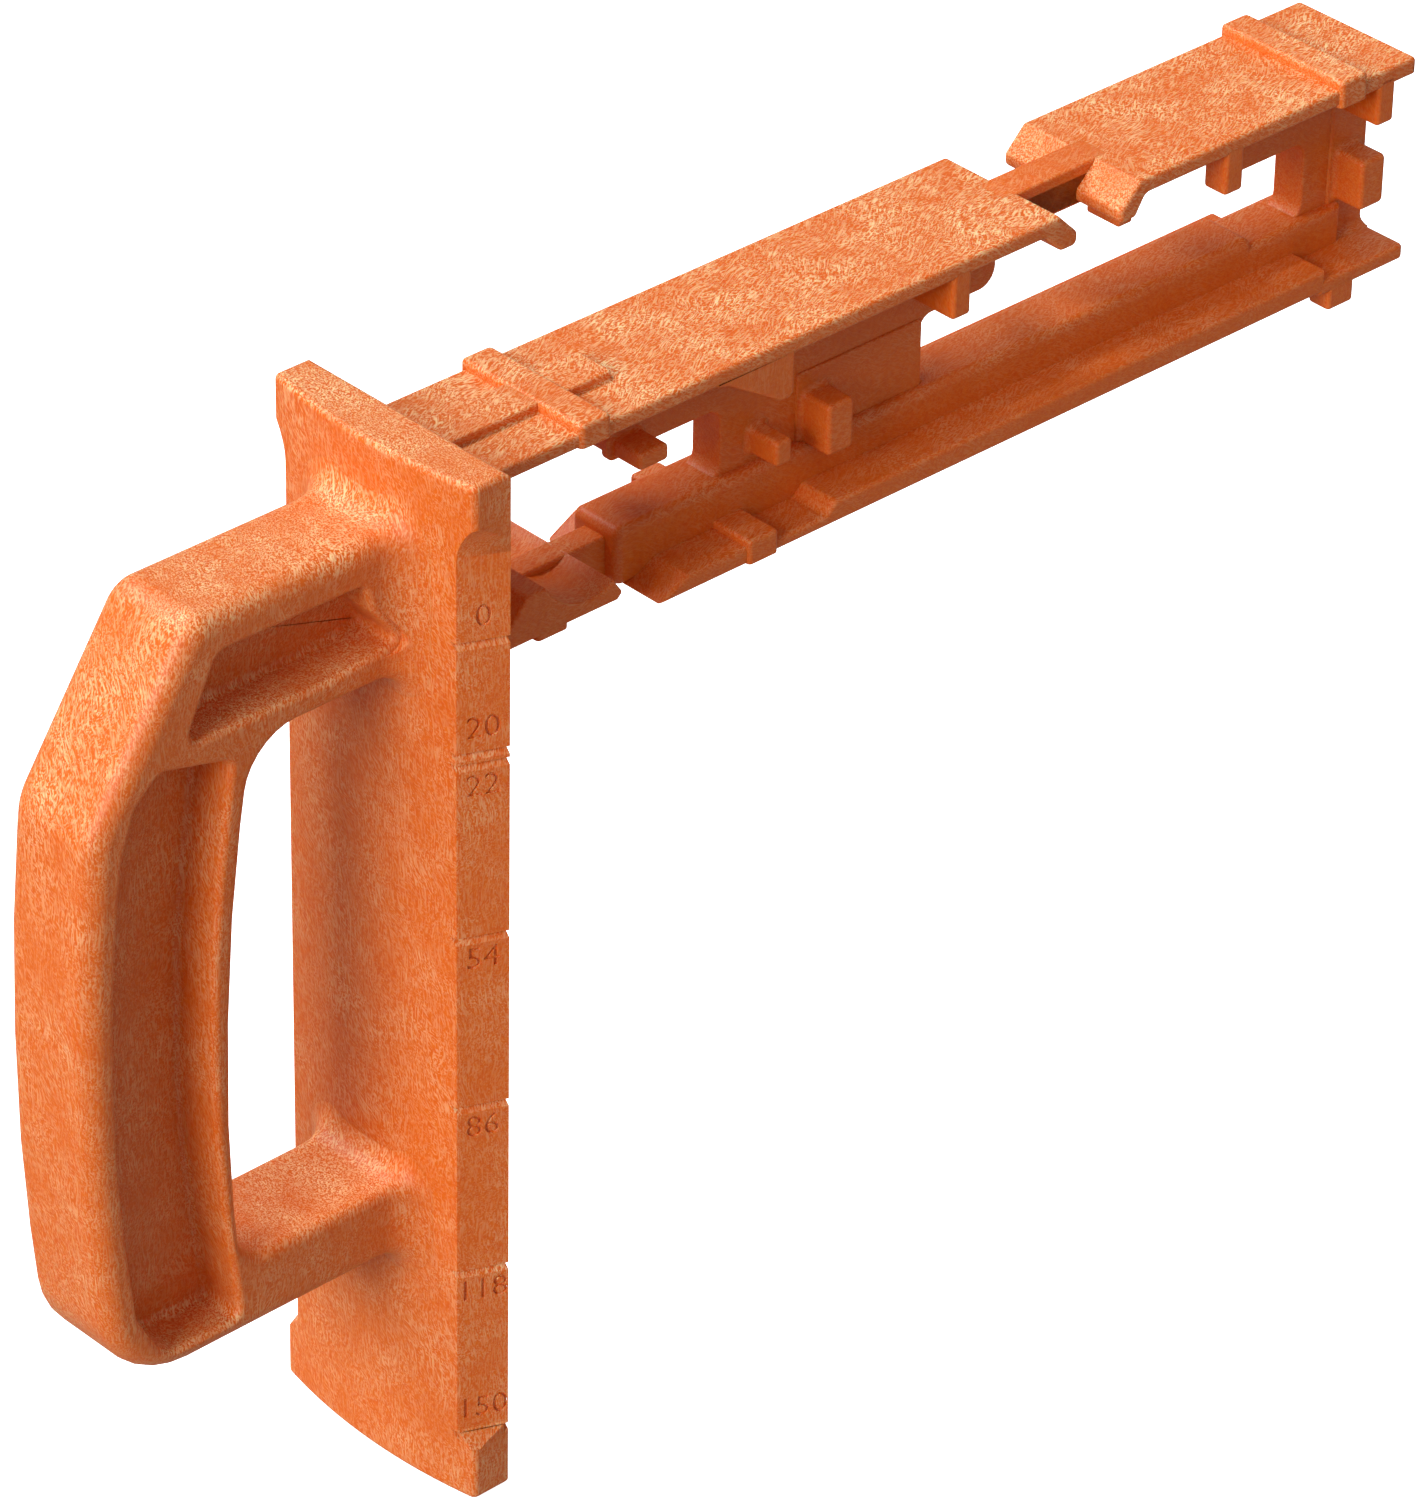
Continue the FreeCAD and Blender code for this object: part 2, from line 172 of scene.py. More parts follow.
def finish_end(bm, faces, tip, extra=0):
    """Round or flare the rim of the end faces, then run on by extra."""
    steps = TIP_STEPS[abs(tip) >= SMALL_TIP]
    before = (0.0, 0.0)
    for step in range(1, steps + 1 if tip else 1):
        angle = math.pi / 2 * step / steps
        now = (tip * (1 - math.cos(angle)), abs(tip) * math.sin(angle))
        bmesh.ops.inset_region(bm, faces=faces, thickness=now[0] - before[0],
                               depth=now[1] - before[1], use_even_offset=True,
                               use_boundary=True)
        before = now
    if extra:
        bmesh.ops.inset_region(bm, faces=faces, thickness=0, depth=extra,
                               use_even_offset=True, use_boundary=True)


def prism(axis, corners, low, high, tips=(0, 0), over=(0, 0)):
    """A solid from a rounded outline, finished at both ends."""
    return thicken(rounded_face(axis, corners), axis, low, high, tips, over)


def box(low_a, high_a, low_b, high_b, radius):
    """Corners of an upright rectangle with one corner radius."""
    return [(low_a, low_b, radius), (high_a, low_b, radius), (high_a, high_b, radius),
            (low_a, high_b, radius)]


def solid(bm, name="tool"):
    """An object holding the mesh, still in millimetres."""
    mesh = bpy.data.meshes.new(name)
    bm.to_mesh(mesh)
    bm.free()
    item = bpy.data.objects.new(name, mesh)
    bpy.context.scene.collection.objects.link(item)
    return item


def drop(item):
    """Remove an object together with its mesh."""
    mesh = item.data
    bpy.data.objects.remove(item)
    bpy.data.meshes.remove(mesh)


def carve(bm, tools, operation="DIFFERENCE"):
    """The mesh with each tool cut away from it or joined to it."""
    item = solid(bm, "blank")
    cutters = [solid(tool) for tool in tools]
    for cutter in cutters:
        step = item.modifiers.new("cut", "BOOLEAN")
        step.operation = operation
        step.solver = "EXACT"
        step.object = cutter
    graph = bpy.context.evaluated_depsgraph_get()
    result = bmesh.new()
    result.from_object(item, graph)
    for spare in cutters + [item]:
        drop(spare)
    bmesh.ops.remove_doubles(result, verts=result.verts[:], dist=0.002)
    return result


def together(meshes):
    """Several separate meshes as one."""
    whole = bmesh.new()
    for bm in meshes:
        mesh = bpy.data.meshes.new("part")
        bm.to_mesh(mesh)
        bm.free()
        whole.from_mesh(mesh)
        bpy.data.meshes.remove(mesh)
    return whole


def mirrored(bm):
    """The mesh reflected to the other side of the middle plane."""
    bmesh.ops.scale(bm, verts=bm.verts[:], vec=(-1, 1, 1))
    bmesh.ops.recalc_face_normals(bm, faces=bm.faces[:])
    return bm


def sided(bm, side):
    """The mesh as built for the right side, or reflected for the left."""
    return mirrored(bm) if side < 0 else bm


def put(bm, name, nodes, flow="Y", fibre_and_sheen=FIBRE_AND_SHEEN_THIN, crease=32):
    """Turn the mesh into a finished piece that stands for the named CAD nodes."""
    bmesh.ops.scale(bm, verts=bm.verts[:], vec=(MM, MM, MM))
    mesh = bpy.data.meshes.new(name)
    bm.to_mesh(mesh)
    bm.free()
    for face in mesh.polygons:
        face.use_smooth = True
    mesh.set_sharp_from_angle(angle=math.radians(crease))
    mesh.materials.append(polyamide(flow, fibre_and_sheen))
    piece = bpy.data.objects.new(name, mesh)
    bpy.context.scene.collection.objects.link(piece)
    even = piece.modifiers.new("even_shading", "WEIGHTED_NORMAL")
    even.keep_sharp = True
    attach(piece, BODY)
    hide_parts(*nodes)
    return piece


def sizes(context):
    """The sizes of the moulding, in millimetres."""
    group = context.scene.template_sizes
    names = group.bl_rna.properties.keys()
    return {n: getattr(group, n) / MM for n in names if n not in ("rna_type", "name")}


# --- material ---------------------------------------------------------------


def node(tree, kind, links=None, **settings):
    """Add a node with its settings; links holds values or other nodes' sockets."""
    item = tree.nodes.new(kind)
    for key, value in settings.items():
        setattr(item, key, value)
    for key, value in (links or {}).items():
        if isinstance(value, bpy.types.NodeSocket):
            tree.links.new(value, item.inputs[key])
        else:
            item.inputs[key].default_value = value
    return item


# How far the streaks are turned from the flow, by the axis that the melt runs along.
FLOW_TURN = {"X": (0, 0, 1.2), "Y": (0, 0, -0.5), "Z": (0, 0.12, 0)}


def streaks(tree, coords, flow, turn, long, wide, seed):
    """Noise drawn out along the melt's flow: bright where a fibre lies."""
    across = 1 / wide
    scale = [across, across, across]
    scale["XYZ".index(flow)] = 1 / long
    turned = node(tree, "ShaderNodeMapping", {"Vector": coords, "Rotation": turn,
                                              "Location": (seed, seed * 0.7, seed * 1.3)})
    drawn = node(tree, "ShaderNodeMapping", {"Vector": turned.outputs[0], "Scale": scale})
    grain = node(tree, "ShaderNodeTexNoise", {"Vector": drawn.outputs[0], "Scale": 1.0,
                                              "Detail": 1.5, "Roughness": 0.55})
    return node(tree, "ShaderNodeMapRange", {"Value": grain.outputs[0], "From Min": 0.49,
                                             "From Max": 0.66}).outputs[0]


def polyamide(flow, fibre_and_sheen):
    """Injection-moulded polyamide with short glass fibre, pigmented orange. The fibre
    lies along the melt's flow and shows as fine pale streaks in a satin skin."""
    name = "glass_filled_polyamide_flow_" + flow.lower()
    # Pieces with stronger fibre streaks and painted sheen get a material of their own.
    if fibre_and_sheen > FIBRE_AND_SHEEN_THIN:
        name += "_bare"
    if name in bpy.data.materials:
        return bpy.data.materials[name]
    finish = bpy.context.scene.template_finish
    made = bpy.data.materials.new(name)
    made.use_nodes = True
    tree = made.node_tree
    skin = tree.nodes["Principled BSDF"]
    place = node(tree, "ShaderNodeTexCoord").outputs["Object"]
    # The melt wanders, so the streaks bend over about 12 mm.
    swirl = node(tree, "ShaderNodeTexNoise", {"Vector": place, "Scale": 1 / 0.012, "Detail": 1.0})
    centred = node(tree, "ShaderNodeVectorMath", {0: swirl.outputs["Color"], 1: (0.5, 0.5, 0.5)},
                   operation="SUBTRACT")
    bend = node(tree, "ShaderNodeVectorMath", {0: centred.outputs[0], "Scale": 0.005},
                operation="SCALE")
    coords = node(tree, "ShaderNodeVectorMath", {0: place, 1: bend.outputs[0]},
                  operation="ADD").outputs[0]
    long = finish.fibre_length
    wide = finish.fibre_width
    turn = FLOW_TURN[flow]
    first = streaks(tree, coords, flow, turn, long, wide, 0.0)
    second = streaks(tree, coords, flow, [t + 0.6 for t in turn], long * 0.8, wide * 1.1, 0.37)
    either = node(tree, "ShaderNodeMath", {0: first, 1: second}, operation="MAXIMUM").outputs[0]
    # Fibre gathers in patches of about 9 mm where the flow slows.
    patch = node(tree, "ShaderNodeTexNoise", {"Vector": coords, "Scale": 1 / 0.009,
                                              "Detail": 2.0, "Roughness": 0.6})
    dense = node(tree, "ShaderNodeMapRange", {"Value": patch.outputs[0], "From Min": 0.35,
                                              "From Max": 0.7, "To Min": 0.3, "To Max": 0.8})
    gathered = node(tree, "ShaderNodeMath", {0: either, 1: dense.outputs[0]},
                    operation="MULTIPLY").outputs[0]
    # Painted sheen: the pale fibre streaks show more strongly on the faces that look up, as if lit
    # from above.
    normal = node(tree, "ShaderNodeTexCoord").outputs["Normal"]
    upward = node(tree, "ShaderNodeSeparateXYZ", {0: normal}).outputs["Z"]
    painted_sheen_up = node(tree, "ShaderNodeMapRange", {"Value": upward, "From Min": 0.0,
                                              "From Max": 0.9, "To Min": 0.55 * fibre_and_sheen,
                                              "To Max": 1.3 * fibre_and_sheen}).outputs[0]
    fibre_and_sheen_amount = node(tree, "ShaderNodeMath", {0: gathered, 1: painted_sheen_up},
                  operation="MULTIPLY").outputs[0]
    # Pigment mottles at about 0.8 mm.
    mottle = node(tree, "ShaderNodeTexNoise", {"Vector": coords, "Scale": 1 / 0.0008,
                                               "Detail": 3.0, "Roughness": 0.6})
    base = node(tree, "ShaderNodeMix", {0: mottle.outputs[0], 6: (*finish.deep, 1),
                                        7: (*finish.body, 1)}, data_type="RGBA")
    # The base colour turns towards the fibre colour by the fibre streaks and the painted sheen.
    tint = node(tree, "ShaderNodeMix", {0: fibre_and_sheen_amount, 6: base.outputs[2],
                                        7: (*finish.fibre, 1)}, data_type="RGBA")
    tree.links.new(tint.outputs[2], skin.inputs["Base Color"])
    rough = node(tree, "ShaderNodeMapRange", {"Value": fibre_and_sheen_amount,
                                              "To Min": finish.roughness,
                                              "To Max": finish.roughness + 0.12})
    tree.links.new(rough.outputs[0], skin.inputs["Roughness"])
    height = node(tree, "ShaderNodeMath", {0: fibre_and_sheen_amount, 1: mottle.outputs[0]}, operation="ADD")
    bump = node(tree, "ShaderNodeBump", {"Height": height.outputs[0], "Strength": 0.35,
                                         "Distance": 0.00008})
    tree.links.new(bump.outputs[0], skin.inputs["Normal"])
    skin.inputs["IOR"].default_value = 1.53
    skin.inputs["Specular IOR Level"].default_value = 0.3
    # Light wanders about a millimetre under the skin and comes back redder.
    skin.inputs["Subsurface Weight"].default_value = 0.3
    skin.inputs["Subsurface Radius"].default_value = (1.0, 0.3, 0.1)
    skin.inputs["Subsurface Scale"].default_value = 0.0012
    return made


def opal_acrylic():
    """Opal acrylic of a light table: matt, even, and lit from below."""
    white = (1, 1, 1, 1)
    made = bpy.data.materials.new("light_table_acrylic")
    made.use_nodes = True
    skin = made.node_tree.nodes["Principled BSDF"]
    skin.inputs["Base Color"].default_value = white
    skin.inputs["Roughness"].default_value = 0.9
    skin.inputs["Specular IOR Level"].default_value = 0.2
    skin.inputs["Emission Color"].default_value = white
    skin.inputs["Emission Strength"].default_value = 1.0
    return made


# --- scale plate ------------------------------------------------------------

# The facet leans from the plate's back edge to its front.
FACET_RUN = 3.4
FACET_LEAN = math.atan2(FACET_RUN, 7.86)
# Keeps the facet's back edge off the plate's corner.
FACET_SINK = 0.04
# A number's middle from its graduation, above and below, and from the facet's back edge.
SHIFT_ABOVE = 4.4
SHIFT_BELOW = -4.1
NUMBER_IN = 4.3
CAP_HEIGHT = 0.71


def crown_radius(s):
    """Radius of the arc across the plate's front."""
    rise = s["plate_middle"] - s["plate_edge"]
    return (s["plate_half"] ** 2 + rise * rise) / (2 * rise)


def facet_matrix(half):
    """Local X out of the facet, local Y along it towards the back, local Z up."""
    return Matrix.Translation((half, 0, 0)) @ Matrix.Rotation(-FACET_LEAN, 4, "Z")


def facet_tool(half, radius, middle):
    """The cutter of the facet, with a cutter's curve at its top and foot and a rounded
    corner where the facet meets the crown."""
    outline = [(0, -149.7, 0.5), (0, 18.9, 9.2), (6.0, 24.1), (12, 24.1), (12, -159),
               (3.5, -159), (2.4, -152.2, 3.2)]
    lengthwise = prism("Y", outline, -16, 6)
    bmesh.ops.transform(lengthwise, matrix=facet_matrix(half), verts=lengthwise.verts[:])
    lean = math.tan(FACET_LEAN)
    meet = half - FACET_RUN
    depth = middle - meet * meet / (2 * radius)
    slope = meet / radius
    inward = meet - 2.5
    plan = [(half + 3 * lean, 3.0), (meet, -depth, 0.9), (inward, -depth - 2.5 * slope),
            (inward, -18), (half + 16, -18), (half + 16, 3.0)]
    return carve(prism("Z", plan, -170, 30), [lengthwise], "INTERSECT")


def notch_tool(half, depth, level):
    """Sawtooth groove: a flat upper flank and a ramp for the pencil point."""
    outline = [(-depth, level), (0.35, level), (0.35, level - 1.87)]
    bm = prism("Y", outline, -16, 6)
    bmesh.ops.transform(bm, matrix=facet_matrix(half), verts=bm.verts[:])
    return bm


def number_tool(text, half, tall, deep, middle):
    """A cutter in the shape of a plain number, lying in the facet."""
    curve = bpy.data.curves.new("number", "FONT")
    curve.body = text
    curve.align_x = "CENTER"
    curve.size = tall / CAP_HEIGHT
    curve.extrude = deep
    curve.resolution_u = 4
    curve.space_character = 1.04
    item = bpy.data.objects.new("number", curve)
    bpy.context.scene.collection.objects.link(item)
    graph = bpy.context.evaluated_depsgraph_get()
    mesh = bpy.data.meshes.new_from_object(item.evaluated_get(graph))
    bm = bmesh.new()
    bm.from_mesh(mesh)
    bpy.data.meshes.remove(mesh)
    bpy.data.objects.remove(item)
    bpy.data.curves.remove(curve)
    bmesh.ops.remove_doubles(bm, verts=bm.verts[:], dist=0.0005)
    low = min(v.co.y for v in bm.verts)
    high = max(v.co.y for v in bm.verts)
    along = Matrix(((0, 0, 1, 0), (1, 0, 0, -NUMBER_IN), (0, 1, 0, middle), (0, 0, 0, 1)))
    centre = Matrix.Translation((0, -(low + high) / 2, 0))
    bmesh.ops.transform(bm, matrix=facet_matrix(half) @ along @ centre, verts=bm.verts[:])
    return bm


class TEMPLATE_OT_scale_plate(bpy.types.Operator):
    """Mould the crowned scale plate with its facets, grooves and numbers"""

    bl_idname = "template.scale_plate"
    bl_label = "Scale plate"

    def execute(self, context):
        s = sizes(context)
        half, edge, middle = s["plate_half"], s["plate_edge"], s["plate_middle"]
        radius = crown_radius(s)
        bm = bmesh.new()
        start = bm.verts.new((-half, -edge, 0))
        sweep = 2 * math.asin(half / radius)
        bmesh.ops.spin(bm, geom=[start], cent=(0, radius - middle, 0), axis=(0, 0, 1),
                       angle=sweep, steps=16)
        crown = sorted(bm.verts, key=lambda v: v.co.x)
        back = [bm.verts.new((half, 0, 0)), bm.verts.new((-half, 0, 0))]
        bm.faces.new(crown + back)
        for corner in (crown[0], crown[-1]):
            round_corner(bm, corner, 1.0, math.pi / 2)
        thicken(bm, "Z", -s["plate_foot"], s["plate_top"], (1.0, 1.0))
        facet_at = half - FACET_SINK
        facets = [facet_tool(facet_at, radius, middle),
                  mirrored(facet_tool(facet_at, radius, middle))]
        bm = carve(bm, facets)
        bm = carve(bm, [together([notch_tool(half, s["notch_depth"], -mark)
                                  for mark in GRADUATIONS])])
        numbers = []
        for mark in GRADUATIONS:
            shift = SHIFT_ABOVE if mark in NUMBER_ABOVE else SHIFT_BELOW
            numbers.append(number_tool(str(mark), half, s["number_height"], s["number_depth"],
                                       shift - mark))
        bm = carve(bm, [together(numbers)])
        put(bm, "scale_plate_body", ["scale_plate"], flow="Z", fibre_and_sheen=FIBRE_AND_SHEEN_BROAD)
        return {"FINISHED"}


# --- handle -----------------------------------------------------------------

STRUT_END = -14.72
HANDLE_OUTSIDE = [(2.0, 16.3), (-51.0, 16.3, 6.0), (-70.9, -14.1, 10.0), (-75.9, -56.3, 330.0),
                  (-69.2, -118.3, 16.0), (2.0, -118.3)]
FINGER_HOLE = [(6.0, -9.0), (-39.4, -9.0, 10.0), (-47.3, -58.0, 290.0), (-43.5, -104.5, 5.0),
               (6.0, -104.5)]
UPPER_CORE = [(-17.6, 9.3, 1.4), (-16.0, 4.2, 1.9), (-10.4, -3.0, 1.5), (-24.2, -4.4, 25.0),
              (-52.8, -4.4, 2.2), (-46.2, 9.5, 2.5)]
GRIP_CORE = [(-44.0, -10.6, 1.8), (-57.8, -7.0, 2.5), (-62.6, -11.3, 4.0),
             (-65.3, -19.4, 8.0), (-70.2, -60.0, 250.0), (-64.8, -105.2, 5.0),
             (-59.5, -114.4, 5.0), (-44.3, -114.4, 1.8), (-44.9, -110.0, 4.0),
             (-51.2, -62.0, 230.0)]


class TEMPLATE_OT_handle(bpy.types.Operator):
    """Mould the D-shaped handle with its finger opening and cored pockets"""

    bl_idname = "template.handle"
    bl_label = "Handle"

    def execute(self, context):
        s = sizes(context)
        half, floor = s["grip_half"], s["core_floor"]
        bm = prism("X", HANDLE_OUTSIDE, -half, half, (s["grip_round"], s["grip_round"]))
        bm = carve(bm, [prism("X", FINGER_HOLE, -half, half, (-2.0, -2.0), (4, 4))])
        everything = bm.verts[:] + bm.edges[:] + bm.faces[:]
        bmesh.ops.bisect_plane(bm, geom=everything, plane_co=(0, STRUT_END, 0),
                               plane_no=(0, 1, 0), clear_outer=True)
        rims = [e for e in bm.edges if e.is_boundary]
        ends = bmesh.ops.edgeloop_fill(bm, edges=rims)["faces"]
        if len(ends) != 2:
            raise RuntimeError("the handle has %d ends" % len(ends))
        bmesh.ops.recalc_face_normals(bm, faces=bm.faces[:])
        for end in ends:
            finish_end(bm, [end], -s["root_round"], 2.5)
        # The roots lie back with the crown, so that they run out flush with it.
        crown = crown_radius(s)
        for vert in bm.verts:
            share = max(0, min(1, (vert.co.y - STRUT_END) / s["root_round"]))
            vert.co.y += share * vert.co.x ** 2 / (2 * crown)
        tools = []
        for outline in (UPPER_CORE, GRIP_CORE):
            for _, side in SIDES:
                tool = prism("X", outline, floor, half, (1.3, -1.2), (0, 6))
                tools.append(sided(tool, side))
        bm = carve(bm, tools)
        put(bm, "handle_frame", ["handle_upper_strut", "handle_grip", "handle_lower_strut"],
            flow="Z", fibre_and_sheen=FIBRE_AND_SHEEN_BROAD)
        return {"FINISHED"}


# --- arm: upper deck ----------------------------------------------------------

ARM_END = 210.2
DECK_TOP = 22.0
DECK_UNDER = 19.05
# Lifts the neck bar clear of the deck's face where the two overlap.
NECK_PROUD = 0.015
FRONT_NOSE = [(126.6, 22.0, 0.7), (130.8, 17.8, 0.9), (130.8, 15.4, 1.2), (127.3, 15.4, 1.0),
              (123.4, 19.05, 1.5)]
REAR_NOSE = [(146.4, 19.05, 1.5), (144.2, 15.5, 0.9), (140.5, 15.2, 1.2), (140.5, 17.8, 0.9),
             (144.7, 22.0, 0.7)]


class TEMPLATE_OT_upper_deck(bpy.types.Operator):
    """Mould the arm's upper deck: two flanges, cross ribs, strips and the neck bar"""

    bl_idname = "template.upper_deck"
    bl_label = "Upper deck"

    def execute(self, context):
        s = sizes(context)
        half, edge = s["arm_half"], s["edge"]
        front = [(-2.0, 19.4), (-2.0, DECK_TOP)] + FRONT_NOSE + [(24.0, DECK_UNDER), (24.0, 19.4)]
        rear = REAR_NOSE + [(ARM_END, DECK_TOP, 0.8), (ARM_END, 18.7, 0.6), (195.0, 18.7),
                            (195.0, DECK_UNDER)]
        put(prism("X", front, -half, half, (edge, edge)), "upper_flange_front_sheet",
            ["upper_flange_front"], fibre_and_sheen=FIBRE_AND_SHEEN_BROAD)
        put(prism("X", rear, -half, half, (edge, edge)), "upper_flange_rear_sheet",
            ["upper_flange_rear", "upper_end_plate"], fibre_and_sheen=FIBRE_AND_SHEEN_BROAD)
        wide = half + 0.6
        for name, start, foot in (("front", 22.6, 19.4), ("end", 191.4, 18.7)):
            bm = prism("Z", box(-wide, wide, start, start + 6.4, 1.0), foot, 23.7, (0.3, 0.8))
            put(bm, name + "_cross_rib_bar", [name + "_cross_rib"], flow="X", fibre_and_sheen=FIBRE_AND_SHEEN_BROAD)
        strip = 4.1
        for name, start, stop in (("front", -2.0, 24.0), ("rear", 27.5, 38.2)):
            bm = prism("Z", box(-strip, strip, start, stop, 0.9), DECK_TOP, 23.5, (-0.4, 0.6),
                       (0.5, 0))
            put(bm, "centre_strip_" + name + "_bar", ["centre_strip_" + name], fibre_and_sheen=FIBRE_AND_SHEEN_BROAD)
        neck = [(121.0, 14.9), (121.0, 20.5), (124.0, DECK_TOP + NECK_PROUD),
                (147.5, DECK_TOP + NECK_PROUD), (150.0, 20.5), (150.0, 14.9)]
        web = s["web_half"]
        put(prism("X", neck, -web, web, (0.5, 0.5)), "neck_bar_link", ["neck_bar"])
        return {"FINISHED"}


# --- arm: web, pegs and ribs --------------------------------------------------

FRONT_WEB = [(38.6, 20.5), (38.6, 7.0, 1.2), (62.0, 7.0, 2.5), (62.0, -5.5, 2.5), (59.0, -5.5),
             (59.0, -7.0), (109.0, -7.0), (109.0, -5.5), (105.8, -5.5, 2.5), (105.8, 7.0, 2.5),
             (122.6, 7.0, 3.6), (122.6, 20.5)]
REAR_WEB = [(121.0, 20.5), (121.0, 14.9), (174.4, 14.9, 1.5), (174.4, 7.0, 3.6),
            (195.0, 7.0, 2.5), (195.0, -7.1, 2.5), (192.0, -7.1), (192.0, -8.5), (203.0, -8.5),
            (203.0, 20.5)]


class TEMPLATE_OT_web(bpy.types.Operator):
    """Mould the arm's upright web, its thick panels and the end post"""

    bl_idname = "template.web"
    bl_label = "Web"

    def execute(self, context):
        s = sizes(context)
        web, thick = s["web_half"], s["thick_web"]
        put(prism("X", FRONT_WEB, -web, web, (0.4, 0.4)), "front_web_panel",
            ["front_web_hanger", "web_block_front"])
        put(prism("X", REAR_WEB, -web, web, (0.4, 0.4)), "rear_web_panel",
            ["rear_web_hanger", "end_post_front"])
        panel = prism("X", box(78.2, 105.8, -6.5, 7.0, 0.4), -thick, thick, (0.35, 0.35))
        put(panel, "thick_web_panel", ["web_block_rear"])
        post = prism("Z", box(-thick, thick, 201.0, ARM_END, 0.8), -13.5, 20.5, (-1.5, 0), (1, 0))
        # The arm's end is cut flush, so the foot's fillet stops there.
        for vert in post.verts:
            vert.co.y = min(vert.co.y, ARM_END)
        put(post, "end_post_column", ["end_post_rear"])
        return {"FINISHED"}


# Name, X start, X stop, Y and Z spans, corner radius: pegs that stand out of the web.
PEGS = (("front_peg", 3.3, 10.0, (38.6, 44.8), (7.5, 10.5), 0.8),
        ("small_peg", 3.3, 10.0, (67.9, 71.5), (-3.4, 1.2), 0.9),
        ("large_peg", 3.7, 10.0, (79.3, 85.0), (-5.9, 3.4), 1.0),
        ("end_peg", 3.7, 10.0, (202.4, 208.2), (-6.2, 3.1), 1.0))
# Name, X span, Y span, Z start: ribs that hang under the deck.
HANGING = (("hanger_rib", (2.5, 13.5), (102.8, 106.9), 11.7),
           ("rear_lug", (8.4, 13.5), (165.0, 169.3), 11.7),
           ("end_rib_under", (3.0, 13.5), (201.3, 205.4), 11.7))
GUSSET = [(50.4, 20.0), (51.6, 19.05), (54.6, 18.15, 2.0), (65.6, 11.4, 1.2), (67.4, 11.4, 0.8),
          (68.2, 12.2, 0.8), (68.2, 20.0)]


class TEMPLATE_OT_pegs(bpy.types.Operator):
    """Mould the pegs on the web and the ribs under the deck"""

    bl_idname = "template.pegs"
    bl_label = "Pegs and ribs"

    def execute(self, context):
        s = sizes(context)
        root = s["peg_root"]
        for name, side in SIDES:
            for kind, start, stop, y, z, radius in PEGS:
                bm = prism("X", box(*y, *z, radius), start, stop, (-root, radius * 0.85), (1, 0))
                put(sided(bm, side), kind + "_stub_" + name, [kind + "_" + name], flow="X")
            for kind, x, y, foot in HANGING:
                bm = prism("Z", box(*x, *y, 0.8), foot, 19.9, (0.7, 0))
                put(sided(bm, side), kind + "_bar_" + name, [kind + "_" + name], flow="Z")
            bm = prism("X", GUSSET, 9.5, s["arm_half"], (0.6, 0.6))
            put(sided(bm, side), "side_gusset_web_" + name, ["side_gusset_" + name], flow="Z")
            bm = prism("X", box(141.9, 145.2, 13.6, 16.4, 0.5), 4.3, 11.7, (0.45, 0.45))
            put(sided(bm, side), "nose_ledge_bar_" + name, ["nose_ledge_" + name], flow="X")
        return {"FINISHED"}


# --- arm: lower rail ------------------------------------------------------------

THIN_SPINE = [(-2.0, -11.1), (32.3, -11.1, 1.0), (36.0, -15.8, 1.0), (40.0, -15.8),
              (40.0, -7.4), (-2.0, -7.4)]
SPINE = [(38.2, -15.8, 1.8), (181.5, -15.8), (181.5, -5.2, 1.8), (38.2, -5.2, 1.8)]
SPINE_REAR = [(178.0, -15.8), (203.0, -15.8), (203.0, -6.8), (178.0, -6.8)]
SADDLE = [(-2.0, -11.1), (-2.0, -9.4), (6.8, -9.4, 1.0), (12.4, -2.9, 1.2), (16.1, -2.9),
          (21.2, -12.2, 10.2), (30.4, -7.3), (32.3, -10.0, 0.6), (31.2, -11.1, 0.6)]
RAIL = [(40.3, -15.8), (191.0, -15.8), (191.0, -11.7), (78.0, -11.7, 1.2),
        (76.0, -13.7, 1.6), (65.0, -13.7), (65.0, -12.6), (46.2, -12.6, 1.0)]


